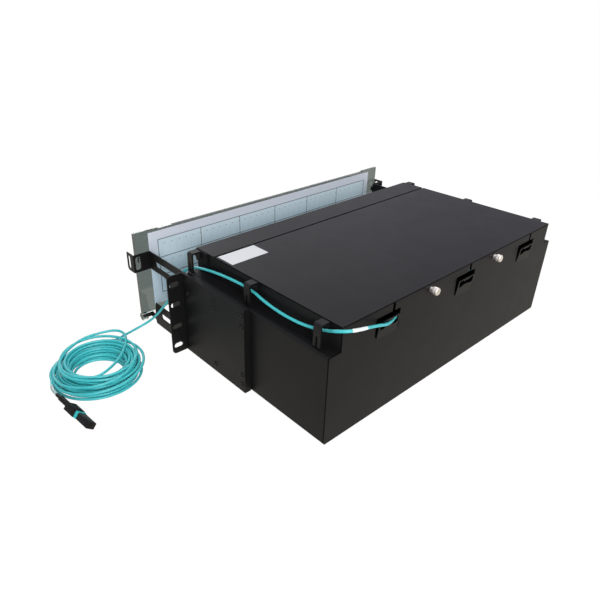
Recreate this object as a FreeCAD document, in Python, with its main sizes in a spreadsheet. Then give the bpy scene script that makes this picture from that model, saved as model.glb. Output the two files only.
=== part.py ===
import FreeCAD, Part
import math
import os
import Sketcher

# A three-unit rack panel for fibre, with its trunk cable.
# X runs across the rack, Y from the door (-) to the rear (+) and Z up, in millimetres.
# The origin is on the underside, in the middle of the rack mounting plane.

sizes = {
    # housing
    "panelHeight": 132.0,
    "chassisWidth": 425.0,
    "chassisDepth": 231.0,
    "frontLip": 1.5,
    "sheetGauge": 1.5,
    "bendRadius": 2.5,
    "ledgeWidth": 16.0,
    "fitGap": 0.3,
    # heights that are measured down from the top: the ledges, and the rear cable entries
    "ledgeHeight": 27.5,
    "entryTop": 10.5,
    "entryBottom": 34.0,
    # top strip, cover and sticker
    "stripBack": 33.0,
    "coverFront": 35.5,
    "coverOverhang": 0.6,
    "cheekLength": 21.0,
    "cheekDrop": 15.0,
    "stripRadius": 2.8,
    "stickerWidth": 52.0,
    "stickerLength": 27.0,
    "stickerGauge": 0.3,
    "stickerInset": 3.0,
    # rear cable entries
    "entryPitch": 136.0,
    "entryShift": -6.0,
    "entryWidth": 37.0,
    "entryRadius": 5.0,
    "slitWidth": 4.0,
    "slitShift": -7.5,
    "tongueGap": 2.6,
    "tongueLength": 20.6,
    "tongueTilt": 7.0,
    "tieSpan": 27.0,
    "tieEye": 8.0,
    "tieRadius": 1.3,
    "tieLink": 5.2,
    "tieRise": 15.0,
    # thumbscrews of the cover
    "screwSpacing": 125.0,
    "screwDrop": 6.8,
    "knobRadius": 4.3,
    "knobLength": 9.4,
    "collarRadius": 3.0,
    "collarLength": 3.4,
    "stemRadius": 2.0,
    "stemInside": 5.0,
    "runningGap": 0.05,
    "tabWidth": 30.0,
    "tabDrop": 9.0,
    # rack brackets
    "rackWidth": 482.6,
    "bracketWidth": 442.0,
    "bracketDepth": 117.0,
    "bracketHeight": 107.0,
    "returnFront": 14.5,
    "earRadius": 5.0,
    "slotSpacing": 465.1,
    "slotRise": 57.15,
    "upperSlotPair": 37.7,
    "lowerSlotPair": 10.9,
    "slotLength": 12.7,
    "slotHeight": 6.8,
    # cable arms and rings
    "armRoot": 14.0,
    "armFront": 79.5,
    "upperArmHeight": 24.0,
    "upperSlotFront": 64.0,
    "upperSlotBack": 16.0,
    "upperSlotHeight": 7.5,
    "throatBack": 30.0,
    "throatRadius": 18.0,
    "lowerArmTop": 33.0,
    "lowerArmLow": 1.0,
    "lowerArmTip": 75.0,
    "lowerSlotFront": 62.0,
    "lowerSlotBack": 38.0,
    "lowerSlotHeight": 8.2,
    "armSlotRadius": 3.0,
    "upperSlotDrop": 13.0,
    "lowerSlotRise": 18.6,
    "ringReach": 22.7,
    "ringForward": 17.0,
    "ringRadius": 4.0,
    "ringBar": 2.0,
    "innerWindow": 7.6,
    "outerWindow": 6.4,
    "windowMargin": 3.0,
    "windowRadius": 2.6,
    # door, label sheet, hinge and catches
    "doorWidth": 467.4,
    "doorTop": 131.0,
    "doorFace": 88.5,
    "doorGauge": 3.5,
    "doorDip": 1.5,
    "doorDipWidth": 396.0,
    "labelWidth": 427.0,
    "labelLow": 23.0,
    "labelHigh": 126.5,
    "labelGauge": 0.4,
    "hingeReach": 90.6,
    "hingeHeight": 10.1,
    "pinRadius": 2.0,
    "pinHeadRadius": 3.0,
    "pinHeadLength": 1.5,
    "knuckleRadius": 5.5,
    "knuckleLength": 7.0,
    "fingerRadius": 3.5,
    "swingGap": 0.4,
    "catchPlace": 8.5,
    "catchWidth": 7.0,
    "catchHeight": 7.0,
    "catchReach": 8.4,
    # cable clips on the ledges
    "clipFirst": 4.5,
    "clipPitch": 103.2,
    "clipWidth": 9.5,
    "clipGauge": 1.9,
    "clipReach": 8.2,
    "clipRoot": 16.0,
    "clipTopDrop": 0.3,
    "clipMouth": 1.6,
    "clipShoulder": 2.0,
    "clipHip": 12.5,
    "clipLip": 13.7,
    "clipLipHeight": 3.6,
    "clipSlit": 1.8,
    # cassette rack, cassettes and adapters
    "columns": 6,
    "rows": 3,
    "rackDepth": 100.0,
    "cassetteDepth": 100.0,
    "cassetteInset": 3.0,
    "pullWidth": 16.0,
    "pullHeight": 3.0,
    "pullReach": 7.0,
    "adaptersAcross": 6,
    "adapterPitch": 9.6,
    "adapterWidth": 8.6,
    "adapterHeight": 13.2,
    "adapterReach": 6.0,
    # trunk cable, its coil and its plugs
    "cableDiameter": 3.2,
    "coilX": 328.0,
    "coilY": -22.0,
    "coilOuter": 54.0,
    "coilInner": 26.0,
    "coilHeight": 22.0,
    "coilBevel": 6.0,
    "innerPlugWidth": 12.4,
    "innerPlugHeight": 7.8,
    "innerPlugLength": 34.0,
    "plugX": 385.3,
    "plugY": -8.4,
    "plugTurn": 5.3,
    "plugRoll": -42.0,
    "plugRise": 7.25,
    "bootNeck": 2.1,
    "bootWaist": 2.3,
    "bootShoulder": 3.1,
    "bootNeckLength": 8.0,
    "bootLength": 26.0,
    "coreWidth": 8.4,
    "coreHeight": 5.4,
    "coreLength": 44.0,
    "bandWidth": 11.8,
    "bandHeight": 8.0,
    "bandLength": 3.9,
    "sleeveWidth": 12.2,
    "sleeveHeight": 8.4,
    "sleeveLength": 18.5,
    "sleeveTravel": 2.0,
    "keyWidth": 4.0,
    "keyHeight": 1.2,
    "capWidth": 10.4,
    "capHeight": 7.4,
    "capLength": 21.4,
    "capWall": 1.0,
}

doc = FreeCAD.newDocument("FibrePatchPanel")
sheet = doc.addObject("Spreadsheet::Sheet", "Sizes")
for row, (alias, value) in enumerate(sizes.items(), 1):
    sheet.set(f"A{row}", alias)
    sheet.set(f"B{row}", str(value))
    sheet.setAlias(f"B{row}", alias)
doc.recompute()


class Size:
    # A length with its number and the sheet formula that gives it.

    def __init__(self, number, formula):
        self.number = number
        self.formula = formula

    def join(self, sign, other, swap=False):
        first, second = (asSize(other), self) if swap else (self, asSize(other))
        results = {
            "+": lambda a, b: a + b,
            "-": lambda a, b: a - b,
            "*": lambda a, b: a * b,
            "/": lambda a, b: a / b,
        }
        formula = f"({first.formula} {sign} {second.formula})"
        return Size(results[sign](first.number, second.number), formula)

    def __add__(self, other):
        return self.join("+", other)

    def __radd__(self, other):
        return self.join("+", other, True)

    def __sub__(self, other):
        return self.join("-", other)

    def __rsub__(self, other):
        return self.join("-", other, True)

    def __mul__(self, other):
        return self.join("*", other)

    def __rmul__(self, other):
        return self.join("*", other, True)

    def __truediv__(self, other):
        return self.join("/", other)

    def __neg__(self):
        return Size(0.0, "0").join("-", self)


def asSize(value):
    return value if isinstance(value, Size) else Size(value, repr(value))


def size(alias):
    return Size(float(sheet.get(alias)), f"Sizes.{alias}")


def count(alias):
    return int(round(sheet.get(alias)))


def bind(item, setting, value):
    item.setExpression(setting, asSize(value).formula)


def inOrder(first, second):
    return (first, second) if asSize(first).number < asSize(second).number else (second, first)


# Sketch drawing: every corner is tied to the sheet by its two distances from the sketch origin.

def vector(point):
    return FreeCAD.Vector(asSize(point[0]).number, asSize(point[1]).number, 0)


def pin(sketch, item, end, point, kinds=("DistanceX", "DistanceY")):
    for kind, place in zip(kinds, point):
        made = sketch.addConstraint(Sketcher.Constraint(kind, -1, 1, item, end, asSize(place).number))
        sketch.setExpression(f"Constraints[{made}]", asSize(place).formula)


def sign(value):
    return 0 if abs(value) < 1e-9 else math.copysign(1, value)


def samePlace(first, second):
    return vector(first).isEqual(vector(second), 1e-6)


def roundedPath(corners):
    # Turns corners, some with a radius as a third value, into stations and the arcs between them.
    stations, arcs = [], {}
    for i, corner in enumerate(corners):
        if len(corner) == 2:
            stations.append(corner)
            continue
        here, before, after = vector(corner), vector(corners[i - 1]), vector(corners[(i + 1) % len(corners)])
        comes = (sign(here.x - before.x), sign(here.y - before.y))
        goes = (sign(after.x - here.x), sign(after.y - here.y))
        x, y, radius = corner
        start = (x - comes[0] * radius, y - comes[1] * radius)
        finish = (x + goes[0] * radius, y + goes[1] * radius)
        middle = (start[0] + goes[0] * radius, start[1] + goes[1] * radius)
        leftTurn = comes[0] * goes[1] - comes[1] * goes[0] > 0
        if not (stations and samePlace(stations[-1], start)):
            stations.append(start)
        arcs[len(stations) - 1] = (middle, radius, leftTurn)
        stations.append(finish)
    if samePlace(stations[-1], stations[0]):
        stations.pop()
    return stations, arcs


def loop(corners):
    # A closed outline of straight edges, where a corner with a radius is rounded.
    def draw(sketch):
        stations, arcs = roundedPath(corners)
        first = sketch.GeometryCount
        total = len(stations)
        for i, station in enumerate(stations):
            start, finish = vector(station), vector(stations[(i + 1) % total])
            if i not in arcs:
                sketch.addGeometry(Part.LineSegment(start, finish))
                continue
            middle, radius, leftTurn = arcs[i]
            centre = vector(middle)
            bulge = (start + finish) * 0.5 - centre
            bulge.normalize()
            sketch.addGeometry(Part.Arc(start, centre + bulge * asSize(radius).number, finish))
        startEnd = {i: 1 if arcs[i][2] else 2 for i in arcs}
        for i, station in enumerate(stations):
            last = (i - 1) % total
            sketch.addConstraint(Sketcher.Constraint(
                "Coincident", first + last, 3 - startEnd.get(last, 1), first + i, startEnd.get(i, 1)))
            pin(sketch, first + i, startEnd.get(i, 1), station)
        for i, (middle, radius, leftTurn) in arcs.items():
            pin(sketch, first + i, 3, middle[:1])
    return draw


def rectangle(x0, x1, y0, y1, radius=None):
    corners = [(x0, y0), (x1, y0), (x1, y1), (x0, y1)]
    return loop([corner if radius is None else (*corner, radius) for corner in corners])


def slot(x, y, length, height):
    # A slot along the sketch's first axis with half-round ends.
    return rectangle(x - length / 2, x + length / 2, y - height / 2, y + height / 2, height / 2)


def circle(x, y, radius):
    def draw(sketch):
        middle = vector((x, y))
        made = sketch.addGeometry(Part.Circle(middle, FreeCAD.Vector(0, 0, 1), asSize(radius).number))
        pin(sketch, made, 3, (x, y))
        held = sketch.addConstraint(Sketcher.Constraint("Radius", made, asSize(radius).number))
        sketch.setExpression(f"Constraints[{held}]", asSize(radius).formula)
    return draw


# Bodies, pads and pockets

subParts = {}


def newBody(label):
    body = doc.addObject("PartDesign::Body", label)
    body.Label = label
    subParts[label] = body
    return body


def newSketch(body, role, offset, drawings):
    sketch = body.newObject("Sketcher::SketchObject", f"{body.Name}_sketch")
    support = next(item for item in body.Origin.OriginFeatures if item.Role == role)
    sketch.AttachmentSupport = [(support, "")]
    sketch.MapMode = "FlatFace"
    bind(sketch, "AttachmentOffset.Base.z", offset)
    for draw in drawings:
        draw(sketch)
    return sketch


def pad(body, role, low, high, *drawings):
    # Material from low to high along the axis that the plane faces.
    low, high = inOrder(low, high)
    start = -asSize(high) if role == "XZ_Plane" else low
    feature = body.newObject("PartDesign::Pad", f"{body.Name}_pad")
    feature.Profile = newSketch(body, role, start, drawings)
    bind(feature, "Length", asSize(high) - low)
    body.Tip = feature
    return feature


def pocket(body, role, low, high, *drawings):
    # Cuts from low to high along the axis that the plane faces.
    low, high = inOrder(low, high)
    start = -asSize(low) if role == "XZ_Plane" else high
    feature = body.newObject("PartDesign::Pocket", f"{body.Name}_pocket")
    feature.Profile = newSketch(body, role, start, drawings)
    bind(feature, "Length", asSize(high) - low)
    body.Tip = feature
    return feature


def box(label, low, high):
    solid = doc.addObject("Part::Box", label)
    for setting, axis, start, end in zip(("Length", "Width", "Height"), "xyz", low, high):
        bind(solid, setting, asSize(end) - start)
        bind(solid, f"Placement.Base.{axis}", start)
    return solid


# Places that several pieces share

gauge = size("sheetGauge")
fitGap = size("fitGap")
halfWidth = size("chassisWidth") / 2
upperHalf = halfWidth - size("ledgeWidth")
depth = size("chassisDepth")
height = size("panelHeight")
ledge = height - size("ledgeHeight")
underCover = height - gauge
front = -size("frontLip")
screwHeight = height - size("screwDrop")
bracketOuter = size("bracketWidth") / 2
bracketInner = bracketOuter - gauge
armInner = bracketInner - gauge
hingeY = -size("hingeReach")
hingeZ = size("hingeHeight")
doorFace = -size("doorFace")
doorHalf = size("doorWidth") / 2
doorBottom = hingeZ + size("fingerRadius") + size("swingGap")
ringInnerFace = -size("armFront") + gauge
windowLow = size("bracketHeight") - size("upperArmHeight") + size("windowMargin")
windowHigh = size("bracketHeight") - size("windowMargin")
sides = {"left": -1, "right": 1}


# Chassis shell: floor, sides, ledges and upper walls folded from one sheet

def makeChassis():
    bend = size("bendRadius")
    rightHalf = [
        (halfWidth, 0, bend),
        (halfWidth, ledge, bend),
        (upperHalf, ledge),
        (upperHalf, underCover),
        (upperHalf - gauge, underCover),
        (upperHalf - gauge, ledge - gauge),
        (halfWidth - gauge, ledge - gauge),
        (halfWidth - gauge, gauge),
    ]
    leftHalf = [(-corner[0], *corner[1:]) for corner in reversed(rightHalf)]
    body = newBody("chassis_shell")
    pad(body, "XZ_Plane", front, depth - gauge, loop(rightHalf + leftHalf))


# Rear panel: three entries, each a slit from the top, a window and a tongue bent outward

def entryCentres():
    middle = size("entryShift")
    pitch = size("entryPitch")
    return [middle + pitch, middle, middle - pitch]


def entryNotch(centre):
    half = size("entryWidth") / 2
    slitHalf = size("slitWidth") / 2
    slit = centre + size("slitShift")
    top, bottom, radius = height - size("entryTop"), height - size("entryBottom"), size("entryRadius")
    return [
        (slit + slitHalf, underCover),
        (slit + slitHalf, top),
        (centre + half, top),
        (centre + half, bottom, radius),
        (centre - half, bottom, radius),
        (centre - half, top),
        (slit - slitHalf, top),
        (slit - slitHalf, underCover),
    ]


def tieHole(centre):
    # Two rounded eyes joined by a narrow link, in the tongue's own plane.
    half, link, eye = size("tieSpan") / 2, size("tieLink") / 2, size("tieEye")
    rise, radius = size("tieRise"), size("tieRadius")
    inner = half - eye
    corners = [
        (inner, -eye / 2, radius), (half, -eye / 2, radius),
        (half, eye / 2, radius), (inner, eye / 2, radius),
        (inner, link), (-inner, link),
        (-inner, eye / 2, radius), (-half, eye / 2, radius),
        (-half, -eye / 2, radius), (-inner, -eye / 2, radius),
        (-inner, -link), (inner, -link),
    ]
    return loop([(centre + corner[0], rise + corner[1], *corner[2:]) for corner in corners])


def makeRearPanel():
    body = newBody("rear_panel")
    bend = size("bendRadius")
    outline = [(-halfWidth, 0, bend), (halfWidth, 0, bend), (halfWidth, ledge, bend), (upperHalf, ledge),
               (upperHalf, underCover)]
    for centre in entryCentres():
        outline += entryNotch(centre)
    outline += [(-upperHalf, underCover), (-upperHalf, ledge), (-halfWidth, ledge, bend)]
    screwHole = size("stemRadius") + fitGap
    screwHalf = size("screwSpacing") / 2
    holes = [circle(side * screwHalf, screwHeight, screwHole) for side in sides.values()]
    pad(body, "XZ_Plane", depth - gauge, depth, loop(outline), *holes)

    tongueHalf = size("entryWidth") / 2 - size("tongueGap")
    tongues = []
    for centre in entryCentres():
        tongues.append(rectangle(centre - tongueHalf, centre + tongueHalf, 0, size("tongueLength")))
        tongues.append(tieHole(centre))
    feature = pad(body, "XZ_Plane", depth - gauge, depth, *tongues)
    sketch = feature.Profile[0]
    sketch.AttachmentOffset = FreeCAD.Placement(
        FreeCAD.Vector(0, 0, 0), FreeCAD.Rotation(FreeCAD.Vector(-1, 0, 0), size("tongueTilt").number))
    bind(sketch, "AttachmentOffset.Rotation.Angle", size("tongueTilt"))
    bind(sketch, "AttachmentOffset.Base.y", height - size("entryBottom") - gauge)
    bind(sketch, "AttachmentOffset.Base.z", -depth)


# Top strip, cover and sticker

def makeTop():
    half = upperHalf + size("coverOverhang")
    strip = newBody("front_top_strip")
    fold, low, cheekEnd = size("stripRadius"), height - size("cheekDrop"), size("cheekLength")
    outer = half + gauge
    hood = loop([(-outer, low), (-half, low), (-half, underCover), (half, underCover),
                 (half, low), (outer, low), (outer, height, fold), (-outer, height, fold)])
    pad(strip, "XZ_Plane", front, cheekEnd, hood)
    pad(strip, "XY_Plane", underCover, height, rectangle(-half, half, cheekEnd - gauge, size("stripBack")))

    cover = newBody("top_cover")
    pad(cover, "XY_Plane", underCover, height, rectangle(-half, half, size("coverFront"), depth))
    tabHalf = size("tabWidth") / 2
    bore = size("stemRadius") + size("runningGap")
    for side in sides.values():
        middle = side * size("screwSpacing") / 2
        tab = rectangle(middle - tabHalf, middle + tabHalf, underCover - size("tabDrop"), height)
        pad(cover, "XZ_Plane", depth - 2 * gauge, depth - gauge, tab, circle(middle, screwHeight, bore))

    sticker = newBody("blank_sticker")
    right = half - size("stickerInset")
    start = size("coverFront") + size("stickerInset") / 2
    outline = rectangle(right - size("stickerWidth"), right, start, start + size("stickerLength"))
    pad(sticker, "XY_Plane", height, height + size("stickerGauge"), outline)


def makeThumbscrews():
    for name, side in sides.items():
        body = newBody(f"thumbscrew_{name}")
        middle = side * size("screwSpacing") / 2
        seat = depth + fitGap
        collarEnd = seat + size("collarLength")
        pad(body, "XZ_Plane", depth - 2 * gauge - size("stemInside"), seat + gauge,
            circle(middle, screwHeight, size("stemRadius")))
        pad(body, "XZ_Plane", seat, collarEnd + gauge, circle(middle, screwHeight, size("collarRadius")))
        knob = circle(middle, screwHeight, size("knobRadius"))
        pad(body, "XZ_Plane", collarEnd, seat + size("knobLength"), knob)


# Rack brackets: plate, slotted ear and returns that stand on the chassis side

def makeBrackets():
    high = size("bracketHeight")
    back = size("bracketDepth")
    returnFront = size("returnFront")
    slotX = size("slotSpacing") / 2
    for name, side in sides.items():
        body = newBody(f"rack_bracket_{name}")
        plate = rectangle(-gauge, back, 0, high)
        pad(body, "YZ_Plane", side * bracketInner, side * bracketOuter, plate)
        earOuter = side * size("rackWidth") / 2
        ear = loop([(side * bracketInner, 0), (earOuter, 0, size("earRadius")),
                    (earOuter, high, size("earRadius")), (side * bracketInner, high)])
        slots = [slot(side * slotX, low + rise, size("slotLength"), size("slotHeight"))
                 for low in (size("lowerSlotPair"), size("upperSlotPair"))
                 for rise in (0, size("slotRise"))]
        pad(body, "XZ_Plane", -gauge, 0, ear, *slots)
        inside, outside = inOrder(side * halfWidth, side * bracketOuter)
        pad(body, "XZ_Plane", back - gauge, back, rectangle(inside, outside, 0, high))
        for low in (0, high - gauge):
            pad(body, "XY_Plane", low, low + gauge, rectangle(inside, outside, returnFront, back))


# Cable arms: a C-shaped plate inside each bracket, folded outward into a two-window ring

def armOutline():
    top = size("bracketHeight")
    low = size("lowerArmLow")
    finger = size("fingerRadius")
    throat = -size("throatBack")
    tip = -size("lowerArmTip")
    return [
        (size("armRoot"), low),
        (size("armRoot"), top),
        (-size("armFront"), top),
        (-size("armFront"), top - size("upperArmHeight")),
        (throat, top - size("upperArmHeight"), size("throatRadius")),
        (throat, size("lowerArmTop"), size("armSlotRadius")),
        (tip, size("lowerArmTop")),
        (tip - finger, hingeZ + finger),
        (hingeY - finger, hingeZ + finger, finger),
        (hingeY - finger, hingeZ - finger, finger),
        (tip - finger, hingeZ - finger),
        (tip - finger / 2, low),
    ]


def makeArms():
    top = size("bracketHeight")
    upperMiddle = top - size("upperSlotDrop")
    lowerMiddle = size("lowerSlotRise")
    radius = size("armSlotRadius")
    upperRise = size("upperSlotHeight") / 2
    lowerRise = size("lowerSlotHeight") / 2
    upperSlot = rectangle(-size("upperSlotFront"), -size("upperSlotBack"),
                          upperMiddle - upperRise, upperMiddle + upperRise, radius)
    lowerSlot = rectangle(-size("lowerSlotFront"), -size("lowerSlotBack"),
                          lowerMiddle - lowerRise, lowerMiddle + lowerRise, radius)
    pinHole = circle(hingeY, hingeZ, size("pinRadius"))
    ringLow = top - size("upperArmHeight")
    outer = bracketInner + size("ringReach")
    bar = size("ringBar")
    tip = ringInnerFace - size("ringForward")
    corner = size("windowRadius")
    flange = loop([(tip, ringLow, size("ringRadius")), (ringInnerFace, ringLow),
                   (ringInnerFace, top), (tip, top)])
    flangeWindow = rectangle(tip + bar, tip + bar + size("outerWindow"), windowLow, windowHigh, corner)
    windowEnd = outer - gauge - bar / 2
    for name, side in sides.items():
        body = newBody(f"cable_arm_{name}")
        plate = loop(armOutline())
        pad(body, "YZ_Plane", side * armInner, side * bracketInner, plate, upperSlot, lowerSlot, pinHole)
        near, far = inOrder(side * armInner, side * outer)
        low, high = inOrder(side * (windowEnd - size("innerWindow")), side * windowEnd)
        window = rectangle(low, high, windowLow, windowHigh, corner)
        pad(body, "XZ_Plane", -size("armFront"), ringInnerFace, rectangle(near, far, ringLow, top), window)
        pad(body, "YZ_Plane", side * (outer - gauge), side * outer, flange, flangeWindow)


# Door with its knuckles, the label sheet behind it, the hinge pins and the catches

def makeDoor():
    knuckleInner = doorHalf - size("knuckleLength")
    dipHalf = size("doorDipWidth") / 2
    top = size("doorTop")
    dip = top - size("doorDip")
    door = newBody("door_panel")
    outline = loop([(-doorHalf, doorBottom), (doorHalf, doorBottom), (doorHalf, top), (dipHalf, top),
                    (dipHalf, dip), (-dipHalf, dip), (-dipHalf, top), (-doorHalf, top)])
    pad(door, "XZ_Plane", doorFace - size("doorGauge"), doorFace, outline)
    knuckle = circle(hingeY, hingeZ, size("knuckleRadius"))
    bore = circle(hingeY, hingeZ, size("pinRadius") + size("runningGap"))
    for side in sides.values():
        pad(door, "YZ_Plane", side * knuckleInner, side * doorHalf, knuckle, bore)

    label = newBody("label_sheet")
    labelHalf = size("labelWidth") / 2
    pad(label, "XZ_Plane", doorFace, doorFace + size("labelGauge"),
        rectangle(-labelHalf, labelHalf, size("labelLow"), size("labelHigh")))

    for name, side in sides.items():
        pinBody = newBody(f"hinge_pin_{name}")
        pad(pinBody, "YZ_Plane", side * armInner, side * (doorHalf - gauge),
            circle(hingeY, hingeZ, size("pinRadius")))
        pad(pinBody, "YZ_Plane", side * (armInner - size("pinHeadLength")), side * armInner,
            circle(hingeY, hingeZ, size("pinHeadRadius")))

        catch = newBody(f"door_catch_{name}")
        middle = bracketInner + size("catchPlace")
        half = size("catchWidth") / 2
        centre = (windowLow + windowHigh) / 2
        rise = size("catchHeight") / 2
        reach = size("catchReach")
        nose = reach / 4
        hook = loop([(doorFace, centre - rise), (doorFace + reach - nose, centre - rise + nose / 2),
                     (doorFace + reach, centre - rise / 3), (doorFace + reach, centre + rise / 3),
                     (doorFace + reach - nose, centre + rise), (doorFace, centre + rise)])
        pad(catch, "YZ_Plane", side * (middle - half), side * (middle + half), hook)


# Cable clips: moulded hooks on the upper walls, split into two fingers

def makeClips():
    clip = size("clipGauge")
    top = underCover - size("clipTopDrop")
    shoulder = size("clipShoulder")
    tip = ledge + size("clipMouth")
    hip = ledge + size("clipHip")
    lip = tip + size("clipLipHeight")
    slitHalf = size("clipSlit") / 2
    cheekFace = upperHalf + size("coverOverhang") + gauge
    walls = {"front": cheekFace, "middle": upperHalf, "rear": upperHalf}
    for name, side in sides.items():
        for step, (place, wall) in enumerate(walls.items()):
            body = newBody(f"cable_clip_{name}_{place}")
            centre = size("clipFirst") + step * size("clipPitch")
            leg = wall + size("clipReach")
            outer = wall + size("clipLip")
            hook = [(wall, top), (leg - shoulder, top), (leg, top - shoulder), (leg, hip),
                    (outer, lip), (outer, tip), (outer - clip, tip), (outer - clip, lip - clip / 2),
                    (leg - clip, hip - clip), (leg - clip, top - clip), (wall + clip, top - clip),
                    (wall + clip, top - size("clipRoot")), (wall, top - size("clipRoot"))]
            profile = loop([(side * x, z) for x, z in hook])
            pad(body, "XZ_Plane", centre - size("clipWidth") / 2, centre + size("clipWidth") / 2, profile)
            slit = rectangle(centre - slitHalf, centre + slitHalf, tip - clip, top - size("clipHip"))
            pocket(body, "YZ_Plane", side * (leg - 2 * clip), side * (outer + clip), slit)


# Cassette rack with its bays, the cassettes and their adapters

rackHalf = upperHalf - gauge - fitGap
rackTop = underCover - fitGap
bayPitchX = (2 * rackHalf - gauge) / count("columns")
bayPitchZ = (rackTop - 2 * gauge) / count("rows")
rowNames = "abc"


def bayLow(column, row):
    return (-rackHalf + gauge + column * bayPitchX, 2 * gauge + row * bayPitchZ)


def bayMiddle(column, row):
    x, z = bayLow(column, row)
    return (x + (bayPitchX - gauge) / 2, z + (bayPitchZ - gauge) / 2)


def makeRack():
    body = newBody("cassette_rack")
    bays = []
    for column in range(count("columns")):
        for row in range(count("rows")):
            x, z = bayLow(column, row)
            bays.append(rectangle(x, x + bayPitchX - gauge, z, z + bayPitchZ - gauge))
    pad(body, "XZ_Plane", 0, size("rackDepth"), rectangle(-rackHalf, rackHalf, gauge, rackTop), *bays)


def makeCassettes():
    face = size("cassetteInset")
    wide = bayPitchX - gauge - 2 * fitGap
    tall = bayPitchZ - gauge - fitGap
    pullHalf = size("pullWidth") / 2
    for row in range(count("rows")):
        for column in range(count("columns")):
            label = f"cassette_{rowNames[row]}{column + 1}"
            x, z = bayLow(column, row)
            x = x + fitGap
            shell = box(f"{label}_shell", (x, face, z), (x + wide, face + size("cassetteDepth"), z + tall))
            middle = x + wide / 2
            grip = box(f"{label}_pull", (middle - pullHalf, face - size("pullReach"), z + size("pullHeight")),
                       (middle + pullHalf, face + gauge, z + 2 * size("pullHeight")))
            cassette = doc.addObject("Part::Fuse", label)
            cassette.Label = label
            cassette.Base = shell
            cassette.Tool = grip
            subParts[label] = cassette


def makeAdapters():
    # Six duplex adapters with closed shutters on the face of every cassette; a row of them is one group.
    across = count("adaptersAcross")
    wide, tall, reach = (sheet.get(alias) for alias in ("adapterWidth", "adapterHeight", "adapterReach"))
    pitch = sheet.get("adapterPitch")
    face = sheet.get("cassetteInset")
    for row in range(count("rows")):
        solids = []
        for column in range(count("columns")):
            middle, centre = bayMiddle(column, row)
            for place in range(across):
                left = middle.number + (place - (across - 1) / 2) * pitch - wide / 2
                corner = FreeCAD.Vector(left, face - reach, centre.number - tall / 2)
                solids.append(Part.makeBox(wide, reach, tall, corner))
        label = f"adapters_{rowNames[row]}"
        group = doc.addObject("Part::Feature", label)
        group.Label = label
        group.Shape = Part.makeCompound(solids)
        subParts[label] = group


# Trunk cable: from the plug inside, out of the right-hand rear entry, through the clips, to the coil

plugBay = (0, count("rows") - 1)
cassetteBack = size("cassetteInset") + size("cassetteDepth")
innerPlugEnd = cassetteBack + size("innerPlugLength")
plugHeight = size("plugRise")
leadX, leadZ = bayMiddle(*plugBay)

route = [
    (leadX.number, innerPlugEnd.number, leadZ.number), (leadX.number, 155, leadZ.number),
    (-154, 182, 110.4), (-134, 204, 111.4), (-104, 217, 111), (-60, 221, 110.7), (-8, 220.6, 110.4),
    (46, 220, 110.6), (86, 221.6, 110.8), (108, 226.4, 110.4), (128.2, 232.8, 111),
    (139.4, 235.7, 114.2), (152, 237.7, 119.6), (168, 239.6, 125), (181.4, 241, 129),
    (191.6, 240.9, 131.6), (197.6, 238.2, 131.8), (201.8, 233.1, 131), (203.2, 226.8, 128.7),
    (201.4, 219.8, 124.9), (200.3, 211.6, 121.5), (201.2, 200, 118.2), (202.2, 184, 115.6),
    (203, 166, 114.8), (203.2, 146, 115.4), (202.6, 126, 117.3), (200.4, 107.7, 119.4),
    (201.6, 88, 120.8), (203.2, 62, 120.2), (204, 38, 117.5), (203.8, 20, 114), (203.4, 4.5, 109.9),
    (205.2, -6.4, 105.8), (208.8, -14.2, 99.8), (212.6, -19.4, 91.4), (214.2, -24.4, 80.6),
    (216, -35, 60.5), (221, -46.5, 43.5), (225, -62, 24), (230.5, -75, 9.6), (243, -81.2, 2.6),
    (261, -78.4, 1.8), (284, -73.6, 1.8), (306, -69, 2.8),
]
tailRoute = [
    (379.5, -37.9, 6.2), (383.8, -27, 6.9), (386.13, -17.36, plugHeight.number),
    (sheet.get("plugX"), sheet.get("plugY"), plugHeight.number),
]


def cableTube(label, points):
    # Straight runs joined by tangent arcs that use 0.45 of the shorter run beside each corner.
    share = 0.45
    radius = sheet.get("cableDiameter") / 2
    corners = [FreeCAD.Vector(*point) for point in points]
    ring = Part.makeCircle(radius, corners[0], corners[1] - corners[0])
    faces = [Part.Face(Part.Wire([ring]))]
    radii = []
    length = 0
    start = corners[0]
    for before, corner, after in zip(corners, corners[1:], corners[2:]):
        inward = (corner - before).normalize()
        outward = (after - corner).normalize()
        turn = inward.getAngle(outward)
        cut = share * min((corner - before).Length, (after - corner).Length)
        bend = cut / math.tan(turn / 2)
        run = corner - inward * cut - start
        faces.append(ring.extrude(run))
        ring = ring.translated(run)
        centre = corner + (outward - inward).normalize() * (bend / math.cos(turn / 2))
        axis = inward.cross(outward)
        faces.append(ring.revolve(centre, axis, math.degrees(turn)))
        ring = ring.rotated(centre, axis, math.degrees(turn))
        start = corner + outward * cut
        length += run.Length + bend * turn
        radii.append(round(bend, 1))
    run = corners[-1] - start
    faces += [ring.extrude(run), Part.Face(Part.Wire([ring.translated(run)]))]
    length += run.Length
    skin = Part.makeCompound(faces)
    skin.sewShape()
    tube = doc.addObject("Part::Feature", label)
    tube.Label = label
    tube.Shape = Part.makeSolid(skin.Shells[0])
    subParts[label] = tube
    ratio = tube.Shape.Volume / (math.pi * radius ** 2 * length)
    print(f"{label}: length {length:.1f} mm, volume over section times length {ratio:.4f}")
    print(f"{label}: bend radii {radii}")


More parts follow.
